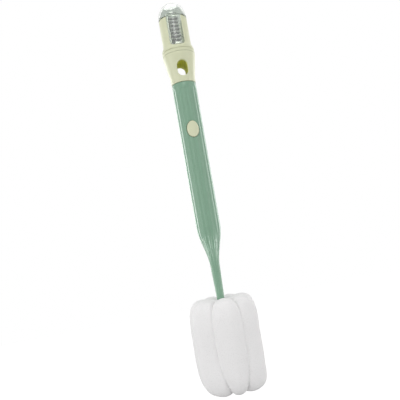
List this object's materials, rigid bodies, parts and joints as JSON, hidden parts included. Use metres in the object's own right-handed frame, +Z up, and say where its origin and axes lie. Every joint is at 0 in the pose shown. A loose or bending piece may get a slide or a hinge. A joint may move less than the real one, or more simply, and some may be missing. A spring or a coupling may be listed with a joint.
{
  "type": "sponge bottle brush",
  "caption": "Long handled bottle brush with a lobed sponge head, a fluted hollow handle that holds a straw brush, a push button, and a hang-hole collar with a clear-domed cap over a small gap brush.",
  "frame": {"origin": "centre of the hang hole through the collar", "axes": "+Z up along the brush towards the cap, -Y out of the face that carries the push button, +X to the right of that face"},
  "size_m": [0.0588, 0.0585, 0.3317],
  "materials": {
    "cream_plastic": "pale yellow-green cream moulded plastic, satin",
    "green_plastic": "sage green moulded plastic, satin gloss",
    "white_plastic": "white moulded plastic, satin",
    "clear_plastic": "clear moulded plastic with a faint grey-green tint, glossy",
    "spring_steel": "stainless spring steel",
    "nylon_bristle": "pale grey-green nylon strands",
    "white_foam": "white fine-celled foam"
  },
  "bodies": {
    "hanger": {"collar": "cream_plastic", "brush_plug": "white_plastic", "latch_spring": "spring_steel", "straw_brush_wire": "spring_steel", "straw_brush_bristles": "nylon_bristle", "gap_brush_head": "white_plastic", "gap_brush_bristles": "nylon_bristle"},
    "cap": {"cap_sleeve": "cream_plastic", "cap_dome": "clear_plastic"},
    "handle": {"handle_shell": "green_plastic"},
    "button": {"release_button": "cream_plastic"},
    "sponge_head": {"sponge_core": "white_plastic", "sponge": "white_foam"}
  },
  "joints": [
    {"name": "cap_pull", "type": "slide", "parent": "hanger", "child": "cap", "axis": [0, 0, 1], "range_m": [0, 0.04]},
    {"name": "handle_pull", "type": "slide", "parent": "hanger", "child": "handle", "axis": [0, 0, -1], "range_m": [0, 0.12]},
    {"name": "button_press", "type": "slide", "parent": "handle", "child": "button", "axis": [0, 1, 0], "range_m": [0, 0.0013], "stiffness_N_per_m": 800, "springref_m": -0.001, "deforming": ["latch_spring"]},
    {"name": "sponge_pull", "type": "slide", "parent": "handle", "child": "sponge_head", "axis": [0, 0, -1], "range_m": [0, 0.034]}
  ]
}
